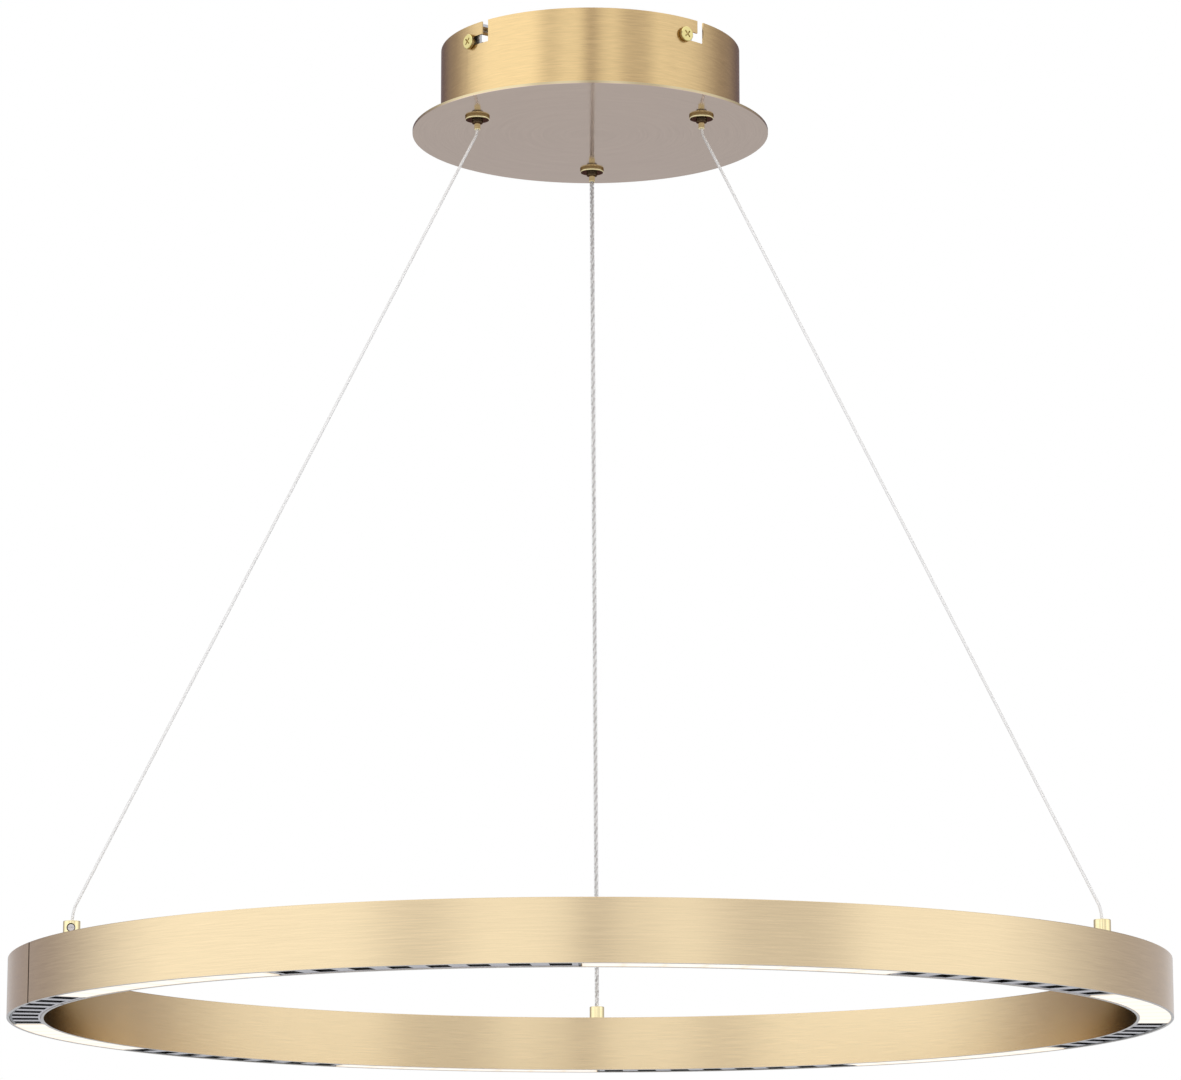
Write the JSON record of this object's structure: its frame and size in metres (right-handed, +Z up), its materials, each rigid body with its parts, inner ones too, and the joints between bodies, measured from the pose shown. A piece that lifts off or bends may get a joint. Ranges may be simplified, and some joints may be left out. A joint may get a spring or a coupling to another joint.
{
  "type": "led ring chandelier",
  "caption": "Slim round LED ring with alternating frosted strips and cell louvres, hung level on cables from a round ceiling canopy with bayonet slots.",
  "frame": {"origin": "centre of the mounting bracket, on its top face at the ceiling", "axes": "+Z up to the ceiling, -Y towards the front, +X to the right seen from the front"},
  "size_m": [0.8129, 0.813, 0.7095],
  "materials": {
    "ring_brass_finish": "circumferentially brushed, brass coloured",
    "canopy_brass_finish": "brushed steel plated in brass colour",
    "polished_brass": "turned and polished",
    "dark_reflector": "dark metallised moulded plastic",
    "frosted_diffuser": "frosted acrylic",
    "circuit_board": "white solder mask on aluminium core",
    "steel_cable": "fine stranded, clear coated",
    "clear_power_cable": "clear sheath over twisted cores",
    "white_lead": "matt sheath",
    "driver_case": "moulded",
    "terminal_plastic": "moulded",
    "green_screw": "green passivated",
    "zinc_steel": "zinc plated"
  },
  "bodies": {
    "bracket": {"mounting_bracket": "zinc_steel", "ground_screw": "green_screw"},
    "thumb_screw_1": {"thumb_screw_1": "polished_brass"},
    "thumb_screw_2": {"thumb_screw_2": "polished_brass"},
    "thumb_screw_3": {"thumb_screw_3": "polished_brass"},
    "thumb_screw_4": {"thumb_screw_4": "polished_brass"},
    "canopy": {"cable_left": "steel_cable", "cable_rear": "clear_power_cable", "cable_right": "steel_cable", "cable_tails": "steel_cable", "canopy_plate": "canopy_brass_finish", "canopy_shell": "canopy_brass_finish", "driver_screws": "zinc_steel", "gripper_left": "polished_brass", "gripper_nuts": "zinc_steel", "gripper_rear": "polished_brass", "gripper_right": "polished_brass", "gripper_spring_left": "zinc_steel", "gripper_spring_rear": "zinc_steel", "gripper_spring_right": "zinc_steel", "led_driver": "driver_case", "mains_lead": "white_lead", "power_tail": "clear_power_cable", "terminal_block": "terminal_plastic"},
    "sleeve_left": {"release_sleeve_left": "polished_brass"},
    "sleeve_right": {"release_sleeve_right": "polished_brass"},
    "sleeve_rear": {"release_sleeve_rear": "polished_brass"},
    "ring": {"ambient_boards": "circuit_board", "anchor_nuts": "zinc_steel", "cable_anchor_left": "polished_brass", "cable_anchor_rear": "polished_brass", "cable_anchor_right": "polished_brass", "diffuser_1": "frosted_diffuser", "diffuser_2": "frosted_diffuser", "diffuser_3": "frosted_diffuser", "diffuser_4": "frosted_diffuser", "diffuser_5": "frosted_diffuser", "diffuser_6": "frosted_diffuser", "grub_screws": "zinc_steel", "louvre_1": "dark_reflector", "louvre_2": "dark_reflector", "louvre_3": "dark_reflector", "louvre_4": "dark_reflector", "louvre_5": "dark_reflector", "louvre_6": "dark_reflector", "ring_channel": "ring_brass_finish", "ring_harness": "white_lead", "spot_boards": "circuit_board"}
  },
  "joints": [
    {"name": "canopy_twist", "type": "hinge", "parent": "bracket", "child": "canopy", "pos_m": [0, 0, 0], "axis": [0, 0, 1], "range_deg": [-8.1, 0]},
    {"name": "thumb_screw_1_turn", "type": "hinge", "parent": "bracket", "child": "thumb_screw_1", "pos_m": [-0.0816, -0.06608, -0.0126], "axis": [-0.7771, -0.6293, 0], "continuous": true},
    {"name": "thumb_screw_2_turn", "type": "hinge", "parent": "bracket", "child": "thumb_screw_2", "pos_m": [0.06608, -0.0816, -0.0126], "axis": [0.6293, -0.7771, 0], "continuous": true},
    {"name": "thumb_screw_3_turn", "type": "hinge", "parent": "bracket", "child": "thumb_screw_3", "pos_m": [0.0816, 0.06608, -0.0126], "axis": [0.7771, 0.6293, 0], "continuous": true},
    {"name": "thumb_screw_4_turn", "type": "hinge", "parent": "bracket", "child": "thumb_screw_4", "pos_m": [-0.06608, 0.0816, -0.0126], "axis": [-0.6293, 0.7771, 0], "continuous": true},
    {"name": "ring_height", "type": "slide", "parent": "canopy", "child": "ring", "axis": [0, 0, 1], "range_m": [0, 0.3], "deforming": ["cable_left", "cable_right", "cable_rear"]},
    {"name": "sleeve_left_press", "type": "slide", "parent": "canopy", "child": "sleeve_left", "axis": [0, 0, 1], "range_m": [0, 0.002], "stiffness_N_per_m": 400, "springref_m": -0.002, "deforming": ["gripper_spring_left"]},
    {"name": "sleeve_right_press", "type": "slide", "parent": "canopy", "child": "sleeve_right", "axis": [0, 0, 1], "range_m": [0, 0.002], "stiffness_N_per_m": 400, "springref_m": -0.002, "deforming": ["gripper_spring_right"]},
    {"name": "sleeve_rear_press", "type": "slide", "parent": "canopy", "child": "sleeve_rear", "axis": [0, 0, 1], "range_m": [0, 0.002], "stiffness_N_per_m": 400, "springref_m": -0.002, "deforming": ["gripper_spring_rear"]}
  ]
}
